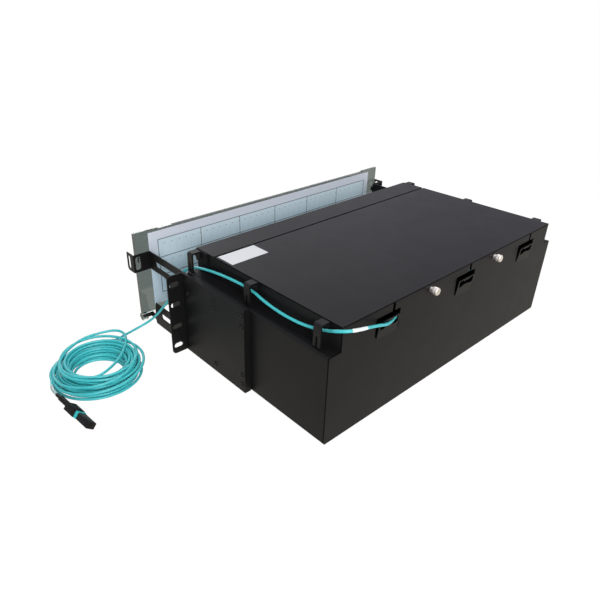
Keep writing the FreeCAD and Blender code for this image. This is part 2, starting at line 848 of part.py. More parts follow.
def makeCoil():
    body = newBody("trunk_coil")
    inner, outer, top = size("coilInner"), size("coilOuter"), size("coilHeight")
    bevel = size("coilBevel")
    section = loop([(inner, bevel), (inner + bevel, 0), (outer - bevel, 0), (outer, bevel),
                    (outer, top - bevel), (outer - bevel, top), (inner + bevel, top), (inner, top - bevel)])
    sketch = newSketch(body, "XZ_Plane", 0, [section])
    turn = body.newObject("PartDesign::Revolution", "trunk_coil_turn")
    turn.Profile = sketch
    turn.ReferenceAxis = (sketch, ["V_Axis"])
    turn.Angle = 360
    body.Tip = turn
    bind(body, "Placement.Base.x", size("coilX"))
    bind(body, "Placement.Base.y", size("coilY"))


# Plugs: the one inside on the cassette, and the connector on the loose end

def makeInnerPlug():
    body = newBody("inner_plug")
    middle, centre = bayMiddle(*plugBay)
    halfWide, halfTall = size("innerPlugWidth") / 2, size("innerPlugHeight") / 2
    neck = innerPlugEnd - size("innerPlugLength") * 0.4
    block = rectangle(middle - halfWide, middle + halfWide, centre - halfTall, centre + halfTall)
    pad(body, "XZ_Plane", cassetteBack, neck, block)
    pad(body, "XZ_Plane", neck, innerPlugEnd, circle(middle, centre, halfTall))


def makeConnector():
    bootLength = size("bootLength")
    neckEnd = size("bootNeckLength")
    gapBack = size("sleeveTravel") + fitGap
    sleeveStart = bootLength + gapBack
    sleeveEnd = sleeveStart + size("sleeveLength")
    bandStart = sleeveEnd + fitGap
    bandEnd = bandStart + size("bandLength")
    shoulder = size("bootShoulder")

    def block(wide, tall):
        return rectangle(-wide / 2, wide / 2, -tall / 2, tall / 2)

    boot = newBody("plug_boot")
    profile = loop([(0, 0), (size("bootNeck"), 0), (size("bootWaist"), neckEnd), (shoulder, neckEnd),
                    (shoulder, bootLength), (0, bootLength)])
    sketch = newSketch(boot, "XY_Plane", 0, [profile])
    turn = boot.newObject("PartDesign::Revolution", "plug_boot_turn")
    turn.Profile = sketch
    turn.ReferenceAxis = (sketch, ["V_Axis"])
    turn.Angle = 360
    boot.Tip = turn

    core = newBody("plug_core")
    pad(core, "XZ_Plane", bootLength, bootLength + size("coreLength"),
        block(size("coreWidth"), size("coreHeight")))
    pad(core, "XZ_Plane", bandStart, bandEnd, block(size("bandWidth"), size("bandHeight")))

    sleeve = newBody("plug_sleeve")
    bore = block(size("coreWidth") + 2 * fitGap, size("coreHeight") + 2 * fitGap)
    pad(sleeve, "XZ_Plane", sleeveStart, sleeveEnd, block(size("sleeveWidth"), size("sleeveHeight")), bore)
    keyHalf = size("keyWidth") / 2
    keyLow = size("sleeveHeight") / 2
    pad(sleeve, "XZ_Plane", sleeveStart + size("sleeveLength") / 2, sleeveEnd,
        rectangle(-keyHalf, keyHalf, keyLow - size("keyHeight") / 2, keyLow + size("keyHeight")))

    cap = newBody("plug_cap")
    capEnd = bandEnd + size("capLength")
    pad(cap, "XZ_Plane", bandEnd, capEnd, block(size("capWidth"), size("capHeight")))
    pocket(cap, "XZ_Plane", bandEnd, capEnd - size("capWall"), bore)

    for body in (boot, core, sleeve, cap):
        turn = FreeCAD.Rotation(FreeCAD.Vector(0, 0, 1), size("plugTurn").number)
        roll = FreeCAD.Rotation(FreeCAD.Vector(0, 1, 0), size("plugRoll").number)
        body.Placement = FreeCAD.Placement(FreeCAD.Vector(0, 0, 0), turn * roll)
        bind(body, "Placement.Base.x", size("plugX"))
        bind(body, "Placement.Base.y", size("plugY"))
        bind(body, "Placement.Base.z", plugHeight)


def checkParts():
    failed = [item.Label for item in doc.Objects if "Invalid" in item.State or "Error" in item.State]
    for label, item in subParts.items():
        if item.Shape.isNull() or not item.Shape.isValid() or not item.Shape.Solids:
            failed.append(label)
    if failed:
        raise RuntimeError(f"pieces that failed: {failed}")


makeChassis()
makeRearPanel()
makeTop()
makeThumbscrews()
makeBrackets()
makeArms()
makeDoor()
makeClips()
makeRack()
makeCassettes()
makeAdapters()
cableTube("trunk_cable", route)
makeCoil()
cableTube("trunk_tail", tailRoute)
makeInnerPlug()
makeConnector()
doc.recompute()
checkParts()

os.makedirs("parts", exist_ok=True)
for label, item in subParts.items():
    item.Shape.exportStep(f"parts/{label}.step")
print(f"{len(subParts)} pieces written")
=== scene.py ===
import math

import bmesh
import bpy
from mathutils import Matrix, Vector


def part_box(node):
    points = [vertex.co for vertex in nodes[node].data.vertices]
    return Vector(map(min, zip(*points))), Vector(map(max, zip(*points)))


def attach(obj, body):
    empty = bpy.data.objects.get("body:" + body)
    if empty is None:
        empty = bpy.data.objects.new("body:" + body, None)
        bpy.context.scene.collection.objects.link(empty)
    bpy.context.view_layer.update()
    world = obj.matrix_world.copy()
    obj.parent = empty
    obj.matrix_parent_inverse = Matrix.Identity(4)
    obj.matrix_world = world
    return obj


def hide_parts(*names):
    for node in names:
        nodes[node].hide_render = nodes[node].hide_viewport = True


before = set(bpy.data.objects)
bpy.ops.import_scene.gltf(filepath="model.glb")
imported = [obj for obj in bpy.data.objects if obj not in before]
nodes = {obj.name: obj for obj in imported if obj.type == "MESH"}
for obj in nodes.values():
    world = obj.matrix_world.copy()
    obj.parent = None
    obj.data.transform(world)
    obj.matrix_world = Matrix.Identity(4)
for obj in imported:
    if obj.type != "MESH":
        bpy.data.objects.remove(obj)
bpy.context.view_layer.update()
mm = 0.001
sides = (("left", -1), ("right", 1))


# Colours and shader nodes

def toLinear(hexColour):
    parts = [int(hexColour[i:i + 2], 16) / 255 for i in (1, 3, 5)]
    return (*[c / 12.92 if c <= 0.04045 else ((c + 0.055) / 1.055) ** 2.4 for c in parts], 1.0)


def deepen(colour, share):
    # The same colour with only a share of its light.
    return (*[c * share for c in colour[:3]], 1)


def addNode(tree, kind, inputs=None, **settings):
    node = tree.nodes.new(kind)
    for name, value in settings.items():
        setattr(node, name, value)
    for name, value in (inputs or {}).items():
        if hasattr(value, "is_output"):
            tree.links.new(value, node.inputs[name])
        else:
            node.inputs[name].default_value = value
    return node


def newMaterial(name, **inputs):
    material = bpy.data.materials.new(name)
    material.use_nodes = True
    tree = material.node_tree
    shader = tree.nodes["Principled BSDF"]
    for socket, value in inputs.items():
        shader.inputs[socket.replace("_", " ")].default_value = value
    return material, tree, shader


def calc(tree, operation, first, second=0.0, **settings):
    return addNode(tree, "ShaderNodeMath", {0: first, 1: second}, operation=operation, **settings).outputs[0]


def objectPlace(tree):
    return addNode(tree, "ShaderNodeTexCoord").outputs["Object"]


def noise(tree, place, grainMm):
    inputs = {"Vector": place, "Scale": 1 / (grainMm * mm), "Detail": 2.0}
    return addNode(tree, "ShaderNodeTexNoise", inputs).outputs["Fac"]


def spread(tree, value, low, high):
    # Noise keeps mostly between 0.3 and 0.7, so that span is drawn out to low and high.
    inputs = {"Value": value, "From Min": 0.3, "From Max": 0.7, "To Min": low, "To Max": high}
    return addNode(tree, "ShaderNodeMapRange", inputs).outputs["Result"]


def mixColours(tree, factor, first, second):
    # The colour sockets share their names with other kinds, so they go by number.
    node = addNode(tree, "ShaderNodeMix", {"Factor": factor}, data_type="RGBA")
    for socket, value in ((node.inputs[6], first), (node.inputs[7], second)):
        if hasattr(value, "is_output"):
            tree.links.new(value, socket)
        else:
            socket.default_value = value
    return node.outputs[2]


def grain(tree, shader, height, look):
    inputs = {"Height": height, "Distance": look["depthMm"] * mm, "Strength": look["strength"]}
    if "edgeMm" in look:
        bevel = addNode(tree, "ShaderNodeBevel", {"Radius": look["edgeMm"] * mm}, samples=4)
        inputs["Normal"] = bevel.outputs["Normal"]
    bump = addNode(tree, "ShaderNodeBump", inputs)
    tree.links.new(bump.outputs["Normal"], shader.inputs["Normal"])


def mottled(name, first, second, look, **inputs):
    # A surface whose colour and roughness drift softly from place to place, with a fine grain if it has one.
    material, tree, shader = newMaterial(name, **inputs)
    place = objectPlace(tree)
    colour = mixColours(tree, noise(tree, place, look["cloudMm"]), first, second)
    tree.links.new(colour, shader.inputs["Base Color"])
    rough = spread(tree, noise(tree, place, look["roughMm"]), look["roughLow"], look["roughHigh"])
    tree.links.new(rough, shader.inputs["Roughness"])
    if "grainMm" in look:
        grain(tree, shader, noise(tree, place, look["grainMm"]), look)
    return material


# Materials

def powderCoat():
    # Black powder coat on folded steel: a fine orange peel breaks the broad grey highlight.
    look = {"dark": "#111112", "light": "#141415", "cloudMm": 60, "roughMm": 25, "roughLow": 0.46,
            "roughHigh": 0.49, "grainMm": 0.7, "depthMm": 0.03, "strength": 0.2, "edgeMm": 0.4}
    return mottled("black_powder_coat_steel", toLinear(look["dark"]), toLinear(look["light"]), look,
                   IOR=1.5, Specular_IOR_Level=0.115)


def mouldedPlastic(name, hexColour, roughness, gloss=0.3):
    # Moulded plastic: spark-eroded grain softens the gloss, and edges catch a thin light.
    look = {"deeper": 0.86, "cloudMm": 14, "roughMm": 5, "roughLow": roughness - 0.04,
            "roughHigh": roughness + 0.04, "grainMm": 0.35, "depthMm": 0.03, "strength": 0.2, "edgeMm": 0.3}
    base = toLinear(hexColour)
    return mottled(name, base, deepen(base, look["deeper"]), look, IOR=1.46, Specular_IOR_Level=gloss)


def cableJacket():
    # Aqua low-smoke jacket: satin, with faint unevenness from the extruder.
    look = {"dark": "#37B4BA", "light": "#48C0C5", "cloudMm": 18, "roughMm": 4, "roughLow": 0.28,
            "roughHigh": 0.36, "grainMm": 0.8, "depthMm": 0.03, "strength": 0.15}
    return mottled("aqua_cable_jacket", toLinear(look["dark"]), toLinear(look["light"]), look,
                   IOR=1.48, Specular_IOR_Level=0.4)


def whiteFilm(name, hexColour, roughness):
    # White polyester film: clean and a little glossy, with the faint mottling of its glue.
    look = {"deeper": 0.95, "cloudMm": 9, "roughMm": 6, "roughLow": roughness, "roughHigh": roughness + 0.08}
    base = toLinear(hexColour)
    return mottled(name, base, deepen(base, look["deeper"]), look, IOR=1.5)


def platedMetal(name, hexColour, roughLow, roughHigh):
    # Turned and plated metal: a fine grain spreads the highlight.
    look = {"deeper": 0.9, "cloudMm": 3, "roughMm": 0.6, "roughLow": roughLow, "roughHigh": roughHigh,
            "grainMm": 0.25, "depthMm": 0.01, "strength": 0.2, "edgeMm": 0.15}
    base = toLinear(hexColour)
    return mottled(name, base, deepen(base, look["deeper"]), look, Metallic=1.0)


def clearPlastic(name, hexColour, transmission, ior, roughMm, roughLow, roughHigh):
    material, tree, shader = newMaterial(
        name, Base_Color=toLinear(hexColour), Transmission_Weight=transmission, IOR=ior)
    haze = spread(tree, noise(tree, objectPlace(tree), roughMm), roughLow, roughHigh)
    tree.links.new(haze, shader.inputs["Roughness"])
    return material


def labelPaper():
    # Pale blue card with a plain printed grid: one field per cassette and faint ticks for its ports.
    sheet = {
        "left": 200.0, "pitchX": 67.2, "columns": 6, "low": 38.0, "pitchZ": 25.4, "rows": 3, "lineMm": 0.9,
        "tickPitch": 11.2, "tickStart": 5.6, "tickMm": 0.5, "tickMiddle": 12.7, "tickHigh": 19.0,
        "dashStart": 1.6, "dashMm": 2.4, "dashMiddle": 18.5, "dashHigh": 1.5, "tickShare": 0.22,
        "dashShare": 0.5, "shadeRampLow": 0.06, "shadeRampHigh": 0.13, "insideLow": "#BCD9E8", "insideHigh": "#D6E5EE",
        "borderLow": "#BFD5E3", "borderHigh": "#DCE0EC", "marks": "#5A6A74", "grid": "#2E373D",
    }
    look = {"grainMm": 0.5, "depthMm": 0.02, "strength": 0.1}
    material, tree, shader = newMaterial("printed_card", Roughness=0.42, IOR=1.45)
    place = objectPlace(tree)
    axes = addNode(tree, "ShaderNodeSeparateXYZ", {"Vector": place})
    x, z = axes.outputs["X"], axes.outputs["Z"]

    def lines(value, start, pitch, width):
        steps = calc(tree, "DIVIDE", calc(tree, "SUBTRACT", value, start * mm), pitch * mm)
        away = calc(tree, "PINGPONG", steps, 0.5)
        return calc(tree, "LESS_THAN", away, width / pitch / 2)

    def between(value, low, high):
        above = calc(tree, "GREATER_THAN", value, low * mm)
        return calc(tree, "MULTIPLY", above, calc(tree, "LESS_THAN", value, high * mm))

    def rowsOf(start, width, middle, high):
        # Short marks at the pitch of the ports, once in every row.
        across = lines(x, sheet["left"] + start, sheet["tickPitch"], width)
        return calc(tree, "MULTIPLY", across, lines(z, sheet["low"] + middle, sheet["pitchZ"], high))

    right = sheet["left"] - sheet["pitchX"] * sheet["columns"]
    top = sheet["low"] + sheet["pitchZ"] * sheet["rows"]
    edge = sheet["lineMm"] / 2
    field = calc(tree, "MULTIPLY", between(x, right - edge, sheet["left"] + edge),
                 between(z, sheet["low"] - edge, top + edge))
    columns = lines(x, sheet["left"], sheet["pitchX"], sheet["lineMm"])
    rows = lines(z, sheet["low"], sheet["pitchZ"], sheet["lineMm"])
    grid = calc(tree, "MULTIPLY", calc(tree, "MAXIMUM", columns, rows), field)
    ticks = rowsOf(sheet["tickStart"], sheet["tickMm"], sheet["tickMiddle"], sheet["tickHigh"])
    dashes = rowsOf(sheet["dashStart"], sheet["dashMm"], sheet["dashMiddle"], sheet["dashHigh"])
    marks = calc(tree, "MAXIMUM", calc(tree, "MULTIPLY", ticks, sheet["tickShare"]),
                 calc(tree, "MULTIPLY", dashes, sheet["dashShare"]))
    marks = calc(tree, "MULTIPLY", marks, field)
    # Painted shade: the card is darker and bluer towards its lower edge, paler towards the top.
    inputs = {"Value": z, "From Min": sheet["shadeRampLow"], "From Max": sheet["shadeRampHigh"]}
    shadeRamp = addNode(tree, "ShaderNodeMapRange", inputs).outputs["Result"]
    inside = mixColours(tree, shadeRamp, toLinear(sheet["insideLow"]), toLinear(sheet["insideHigh"]))
    border = mixColours(tree, shadeRamp, toLinear(sheet["borderLow"]), toLinear(sheet["borderHigh"]))
    colour = mixColours(tree, field, border, inside)
    colour = mixColours(tree, marks, colour, toLinear(sheet["marks"]))
    colour = mixColours(tree, grid, colour, toLinear(sheet["grid"]))
    tree.links.new(colour, shader.inputs["Base Color"])
    grain(tree, shader, noise(tree, place, look["grainMm"]), look)
    return material


steel = powderCoat()
# Painted shadow: nearly black edge faces stand in for the shade in the seams of the cover.
seamShadePaint = mouldedPlastic("painted_seam_shade", "#08080A", 0.6, 0.04)
clipPlastic = mouldedPlastic("black_clip_plastic", "#111111", 0.45, 0.18)
cassettePlastic = mouldedPlastic("black_cassette_plastic", "#171718", 0.5)
adapterPlastic = mouldedPlastic("aqua_adapter_plastic", "#2FA9AC", 0.38)
shutterPlastic = mouldedPlastic("dark_shutter_plastic", "#1D2628", 0.36)
plugPlastic = mouldedPlastic("black_plug_plastic", "#0F0E0D", 0.46, 0.16)
plugAqua = mouldedPlastic("aqua_plug_plastic", "#35B9BB", 0.36)
jacket = cableJacket()
# Smoked clear acrylic: grey where the backdrop shows through, with sharp reflections of the arms.
acrylic = clearPlastic("smoked_acrylic", "#6A726F", 0.96, 1.49, 40, 0.01, 0.02)
card = labelPaper()
stickerFilm = whiteFilm("white_sticker_film", "#D7D9DE", 0.34)
bandFilm = whiteFilm("white_marker_film", "#E8F1F2", 0.3)
# Clear heat-shrink: milky, so the jacket under it reads as grey.
shrink = clearPlastic("clear_heat_shrink", "#DDE0E0", 0.55, 1.45, 3, 0.2, 0.32)
nickel = platedMetal("satin_nickel", "#E2DBD3", 0.42, 0.52)
blackScrew = platedMetal("black_oxide_screw", "#2A2A2A", 0.38, 0.5)
print("materials done")


# The solids that stay, each with its finish

finishes = {
    "rack_bracket": steel, "cable_arm": steel, "chassis_shell": steel, "rear_panel": steel,
    "top_cover": steel, "front_top_strip": steel, "cassette_rack": steel, "cassette_": cassettePlastic,
    "door_panel": acrylic, "door_catch": acrylic, "label_sheet": card, "blank_sticker": stickerFilm,
    "hinge_pin": blackScrew, "inner_plug": plugPlastic,
}
# The sheets whose edge faces are painted nearly black as the shadow in their seams, and the axis across each
# sheet
seamShadeSheets = {"sheets": {"top_cover": 2, "rear_panel": 1}, "edgeNormal": 0.3}


def dressSolids():
    for name, node in nodes.items():
        found = [start for start in finishes if name.startswith(start)]
        if found:
            node.data.materials.clear()
            node.data.materials.append(finishes[max(found, key=len)])
    # Painted seam shadow: the edge faces of these sheets take the nearly black finish.
    for name, across in seamShadeSheets["sheets"].items():
        mesh = nodes[name].data
        mesh.materials.append(seamShadePaint)
        for face in mesh.polygons:
            if abs(face.normal[across]) < seamShadeSheets["edgeNormal"]:
                face.material_index = 1


dressSolids()
print("solids dressed")


# Mesh helpers

def finishMesh(name, form):
    mesh = bpy.data.meshes.new(name)
    bmesh.ops.recalc_face_normals(form, faces=form.faces)
    form.to_mesh(mesh)
    form.free()
    return mesh


def addPiece(name, form, materials, body, sharpDegrees=32):
    mesh = finishMesh(name, form)
    for material in materials:
        mesh.materials.append(material)
    for face in mesh.polygons:
        face.use_smooth = True
    mesh.set_sharp_from_angle(angle=math.radians(sharpDegrees))
    piece = bpy.data.objects.new(name, mesh)
    bpy.context.scene.collection.objects.link(piece)
    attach(piece, body)
    return piece


def placeAt(point):
    return Matrix.Translation(Vector(point) * mm)


def facing(side):
    # Turns the lathe's axis outward, to the left or the right.
    return Matrix.Rotation(math.radians(-90 * side), 4, "Z")


def joinRings(form, rings):
    total = len(rings[0])
    for first, second in zip(rings, rings[1:]):
        for k in range(total):
            ahead = (k + 1) % total
            form.faces.new((first[k], first[ahead], second[ahead], second[k]))


def addBlock(form, low, high, bevelMm, place=Matrix.Identity(4), slotIndex=0):
    # A block from low to high in millimetres, with rounded edges.
    size = [(b - a) * mm for a, b in zip(low, high)]
    middle = Vector([(a + b) / 2 * mm for a, b in zip(low, high)])
    move = place @ Matrix.Translation(middle) @ Matrix.Diagonal((*size, 1))
    made = bmesh.ops.create_cube(form, size=1, matrix=move)["verts"]
    faces = {face for vert in made for face in vert.link_faces}
    edges = {edge for face in faces for edge in face.edges}
    result = bmesh.ops.bevel(form, geom=list(edges), offset=bevelMm * mm, segments=2, affect="EDGES",
                             profile=0.5)
    rounded = {face for vert in result["verts"] for face in vert.link_faces}
    for face in rounded | {face for face in faces if face.is_valid}:
        face.material_index = slotIndex


def addLathe(form, profile, steps, place, ripple=None):
    # Turns (distance along, radius) pairs in millimetres about the local Y axis.
    rings = []
    for i, (along, radius) in enumerate(profile):
        ring = []
        for k in range(steps):
            angle = 2 * math.pi * k / steps
            reach = radius + (ripple(i, angle) if ripple else 0)
            point = Vector((reach * math.cos(angle), along, reach * math.sin(angle))) * mm
            ring.append(form.verts.new(place @ point))
        rings.append(ring)
    joinRings(form, rings)
    for ring in (rings[0], rings[-1]):
        form.faces.new(ring)


def addPrism(form, outline, low, high):
    # An outline in X and Z, in millimetres, drawn out along Y.
    rings = [[form.verts.new(Vector((x, y, z)) * mm) for x, z in outline] for y in (low, high)]
    joinRings(form, rings)
    for ring in rings:
        form.faces.new(ring)


# Trunk cable: one spline through the panel, the clips and the coil to its plug

cable = {"diameterMm": 3.2, "coilX": 329.6, "coilY": -23.3, "stepsPerTurn": 16, "ovalMm": 1.4,
         "ovalDegrees": 139, "coilStart": 274, "riseEnd": 416, "lastStart": 313, "lastEnd": 688, "order": 3,
         "splineSteps": 4, "roundSteps": 4}
# Slow waves along the turns: size in millimetres, waves per turn, drift from turn to turn, starting degrees
wavers = [(0.4, 2, 0.9, 0), (0.3, 3, 2.1, 0), (0.5, 1, -2.4, 90)]
route = [
    (-161.625, 137, 108.25), (-161.625, 155, 108.25), (-154, 182, 110.4), (-134, 204, 111.4),
    (-104, 217, 113), (-60, 221, 114.4), (-8, 220.6, 114), (46, 220, 109.8), (86, 221.6, 110.8),
    (108, 226.4, 110.4),
    (128.2, 232.8, 111), (139.4, 235.7, 114.2), (152, 237.7, 119.6), (168, 239.6, 125), (181.4, 241, 129),
    (191.6, 240.9, 131.6), (197.6, 238.2, 131.8), (201.8, 233.1, 131), (203.2, 226.8, 128.7),
    (201.4, 219.8, 124.9), (200.3, 211.6, 121.5), (201.2, 200, 118.2), (202.2, 184, 115.6), (203, 166, 114.8),
    (203.2, 146, 115.4), (202.6, 126, 117.3), (200.4, 107.7, 119.4), (201.6, 88, 120.8), (203.2, 62, 120.2),
    (204, 38, 117.5), (203.8, 20, 114), (203.4, 4.5, 109.9), (205.2, -6.4, 105.8), (208.8, -14.2, 99.8),
    (212.6, -19.4, 91.4), (214.2, -24.4, 80.6), (216, -35, 60.5), (221, -46.5, 43.5), (225, -62, 24),
    (230.5, -75, 9.6), (243, -81.2, 2.6), (261, -78.4, 1.8), (284, -73.6, 1.8), (306, -69, 2.8),
]
tail = [(379.5, -37.9, 6.2), (383.8, -27, 6.9), (386.13, -17.36, 7.25), (385.3, -8.4, 7.25)]
# The wound turns from the floor up: height, shift and extra height to one side, that side, radii
towardsPanel = 229
towardsRight = 150
layers = [
    (1.7, 0.0, 0.0, towardsPanel, (52.0, 48.0, 44.0, 40.1, 36.2, 32.3, 28.4)),
    (4.8, 1.6, 0.6, towardsPanel, (30.2, 34.4, 38.6, 42.8, 47.0)),
    (7.9, 3.2, 1.2, towardsPanel, (44.9, 40.6, 36.4, 32.2)),
    (11.0, 5.0, 1.8, towardsPanel, (31.4, 35.6, 39.8)),
    (14.0, 7.0, 2.6, towardsPanel, (37.6, 33.6)),
    (5.4, 0.5, 5.0, towardsRight, (51.0,)),
    (8.6, 1.0, 9.0, towardsRight, (52.4,)),
    (17.2, 7.0, 2.6, towardsPanel, (35.5,)),
    (15.2, 9.0, 5.0, towardsPanel, (45.0,)),
]
# One springy loop stands clear of the rest, and the last turn comes down outside to the plug
rise = [layers[-1], (17.4, 7.0, 0.0, towardsPanel, (39.0,))]
looseLoop = [
    (339.4, 4.2, 17.6), (326.2, 0.3, 18.1), (310.1, -8.1, 18.9), (294.7, -22.5, 20.2), (284.6, -36, 21.6),
    (279.4, -49.5, 23), (284, -62.5, 23.8), (302.5, -70.8, 22.8), (324.7, -76.2, 20.6), (349.8, -65.2, 18.4),
]
lastTurn = [(high, 0.0, 0.0, towardsPanel, (radius,))
            for high, radius in ((17.4, 43.0), (15.6, 35.5), (13.0, 43.0), (11.0, 51.0), (6.8, 53.6))]


def windTurns(wound, startDegrees, finishDegrees):
    # Winds evenly from the first radius to the last, a little oval and with the slow waves along the turns.
    turns = [(radius, high, shift, lift, side)
             for high, shift, lift, side, radii in wound for radius in radii]
    start = math.radians(startDegrees)
    total = math.radians(finishDegrees) - start
    steps = round(total / (2 * math.pi) * cable["stepsPerTurn"])
    points = []
    for i in range(steps + 1):
        angle = start + total * i / steps
        progress = (len(turns) - 1) * i / steps
        index = min(int(progress), len(turns) - 2)
        blend = progress - index
        blend = blend * blend * (3 - 2 * blend)
        before, after = turns[index], turns[index + 1]
        radius, high, shift, lift, side = (a + (b - a) * blend for a, b in zip(before, after))
        lean = math.cos(angle - math.radians(side))
        oval = cable["ovalMm"] * math.cos(2 * (angle - math.radians(cable["ovalDegrees"])))
        waver = sum(size * math.sin(waves * angle + drift * progress + math.radians(phase))
                    for size, waves, drift, phase in wavers)
        radius += shift * lean + oval + waver
        points.append((cable["coilX"] + radius * math.cos(angle), cable["coilY"] + radius * math.sin(angle),
                       high + lift * (1 + lean) / 2))
    return points


def coilPoints():
    start = cable["coilStart"]
    whole = 360 * (sum(len(layer[-1]) for layer in layers) - 1)
    return (windTurns(layers, start, start + whole) + windTurns(rise, start, cable["riseEnd"])[1:] + looseLoop
            + windTurns(lastTurn, cable["lastStart"], cable["lastEnd"]))


def makeCord():
    points = route + coilPoints() + tail
    curve = bpy.data.curves.new("trunk_cord", "CURVE")
    curve.dimensions = "3D"
    spline = curve.splines.new("NURBS")
    spline.points.add(len(points) - 1)
    for spot, point in zip(spline.points, points):
        spot.co = (*[value * mm for value in point], 1)
    spline.order_u = cable["order"]
    spline.use_endpoint_u = True
    spline.resolution_u = cable["splineSteps"]
    cord = bpy.data.objects.new("trunk_cord", curve)
    bpy.context.scene.collection.objects.link(cord)
    # The bare line is read off before the curve gets its thickness.
    bare = bpy.data.meshes.new_from_object(cord.evaluated_get(bpy.context.evaluated_depsgraph_get()))
    path = [vert.co.copy() for vert in bare.vertices]
    bpy.data.meshes.remove(bare)
    curve.bevel_depth = cable["diameterMm"] / 2 * mm
    curve.bevel_resolution = cable["roundSteps"]
    curve.use_fill_caps = True
    curve.materials.append(jacket)
    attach(cord, "panel")
    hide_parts("trunk_cable", "trunk_coil", "trunk_tail")
    return cord, path


def lengths(path):
    total = [0.0]
    for before, after in zip(path, path[1:]):
        total.append(total[-1] + (after - before).length)
    return total


def distanceAt(path, place):
    spot = Vector(place) * mm
    return min(zip(path, lengths(path)), key=lambda pair: (pair[0] - spot).length)[1]


cord, cordPath = makeCord()
cordLength = lengths(cordPath)[-1]
print(f"cord {cordLength:.3f} m")


# Marker band and clear tube, tight on the cable

tubes = {"steps": 20, "endTaper": 0.12, "bandPlace": (175, 240.2, 127.2), "bandLength": 0.021,
         "bandRadius": 1.75, "shrinkLength": 0.02, "shrinkRadius": 1.9}


def sleeveAlong(name, begin, end, radiusMm, material):
    # A tube round the cable between two distances along it.
    inside = [point for point, far in zip(cordPath, lengths(cordPath)) if begin <= far <= end]
    last = len(inside) - 1
    angles = [2 * math.pi * k / tubes["steps"] for k in range(tubes["steps"])]
    circle = [Vector((math.cos(angle), 0, math.sin(angle))) for angle in angles]
    form = bmesh.new()
    rings = []
    for i, point in enumerate(inside):
        ahead = inside[min(i + 1, last)] - inside[max(i - 1, 0)]
        turn = ahead.to_track_quat("Y", "Z").to_matrix()
        reach = (radiusMm - (tubes["endTaper"] if i in (0, last) else 0)) * mm
        rings.append([form.verts.new(point + turn @ spot * reach) for spot in circle])
    joinRings(form, rings)
    return addPiece(name, form, [material], "panel")


bandStart = distanceAt(cordPath, tubes["bandPlace"])
markerBand = sleeveAlong("cable_marker_band", bandStart, bandStart + tubes["bandLength"], tubes["bandRadius"],
                         bandFilm)
shrinkTube = sleeveAlong("cable_shrink_tube", cordLength - tubes["shrinkLength"], cordLength,
                         tubes["shrinkRadius"], shrink)
print("marker band and tube done")


# Connector: boot, core, coupling sleeve and dust cap on the loose end, with distances from the boot's tip

plug = {"turnDegrees": 5.3, "rollDegrees": -42}
boot = {"neck": [(0, 1.7), (0.4, 2.1), (8, 2.3), (8, 2.8), (8.5, 3.1)], "ribs": 6, "ribStart": 9.4,
        "ribPitch": 2.6, "rib": [(0, 3.1), (1.5, 3.1), (1.8, 2.6), (2.4, 2.6)], "end": [(25, 3.1), (26, 3.1)],
        "steps": 28}
core = [((-4.2, 26, -2.7), (4.2, 70, 2.7), 0.4), ((-5.9, 47.1, -4), (5.9, 51, 4), 0.7)]
cap = {"low": (-5.2, 51, -3.7), "high": (5.2, 72.4, 3.7), "round": 0.9, "ribs": 4, "ribStart": 58,
       "ribPitch": 2.8, "ribMm": 1.3, "ribX": 5.35, "ribZ": 2.4, "ribRound": 0.2}
sleeve = {"start": 28.3, "end": 46.8, "outerX": 6.1, "innerX": 4.5, "outerZ": 4.2, "innerZ": 3, "round": 0.3,
          "tabX": 2, "tabStart": 9.25, "tabLow": 3.8, "tabHigh": 5.4, "ridges": 4, "ridgeStart": 1.2,
          "ridgePitch": 1.9, "ridgeMm": 0.9, "topX": 3.6, "topLow": 4, "topHigh": 4.45, "topRound": 0.2,
          "sideNear": 5.9, "sideFar": 6.3, "sideZ": 2.8, "sideRound": 0.15}
plugPlace = (placeAt(tail[-1]) @ Matrix.Rotation(math.radians(plug["turnDegrees"]), 4, "Z")
             @ Matrix.Rotation(math.radians(plug["rollDegrees"]), 4, "Y"))


def makeBoot():
    form = bmesh.new()
    ribs = [(boot["ribStart"] + i * boot["ribPitch"] + along, radius)
            for i in range(boot["ribs"]) for along, radius in boot["rib"]]
    addLathe(form, boot["neck"] + ribs + boot["end"], boot["steps"], plugPlace)
    return addPiece("plug_boot_ribbed", form, [plugPlastic], "panel")


def makeCore():
    form = bmesh.new()
    for low, high, bevelMm in core:
        addBlock(form, low, high, bevelMm, plugPlace)
    return addPiece("plug_core_moulded", form, [plugAqua], "panel")


def makeCap():
    form = bmesh.new()
    addBlock(form, cap["low"], cap["high"], cap["round"], plugPlace)
    for i in range(cap["ribs"]):
        low = cap["ribStart"] + i * cap["ribPitch"]
        addBlock(form, (-cap["ribX"], low, -cap["ribZ"]), (cap["ribX"], low + cap["ribMm"], cap["ribZ"]),
                 cap["ribRound"], plugPlace)
    return addPiece("plug_cap_moulded", form, [plugPlastic], "panel")


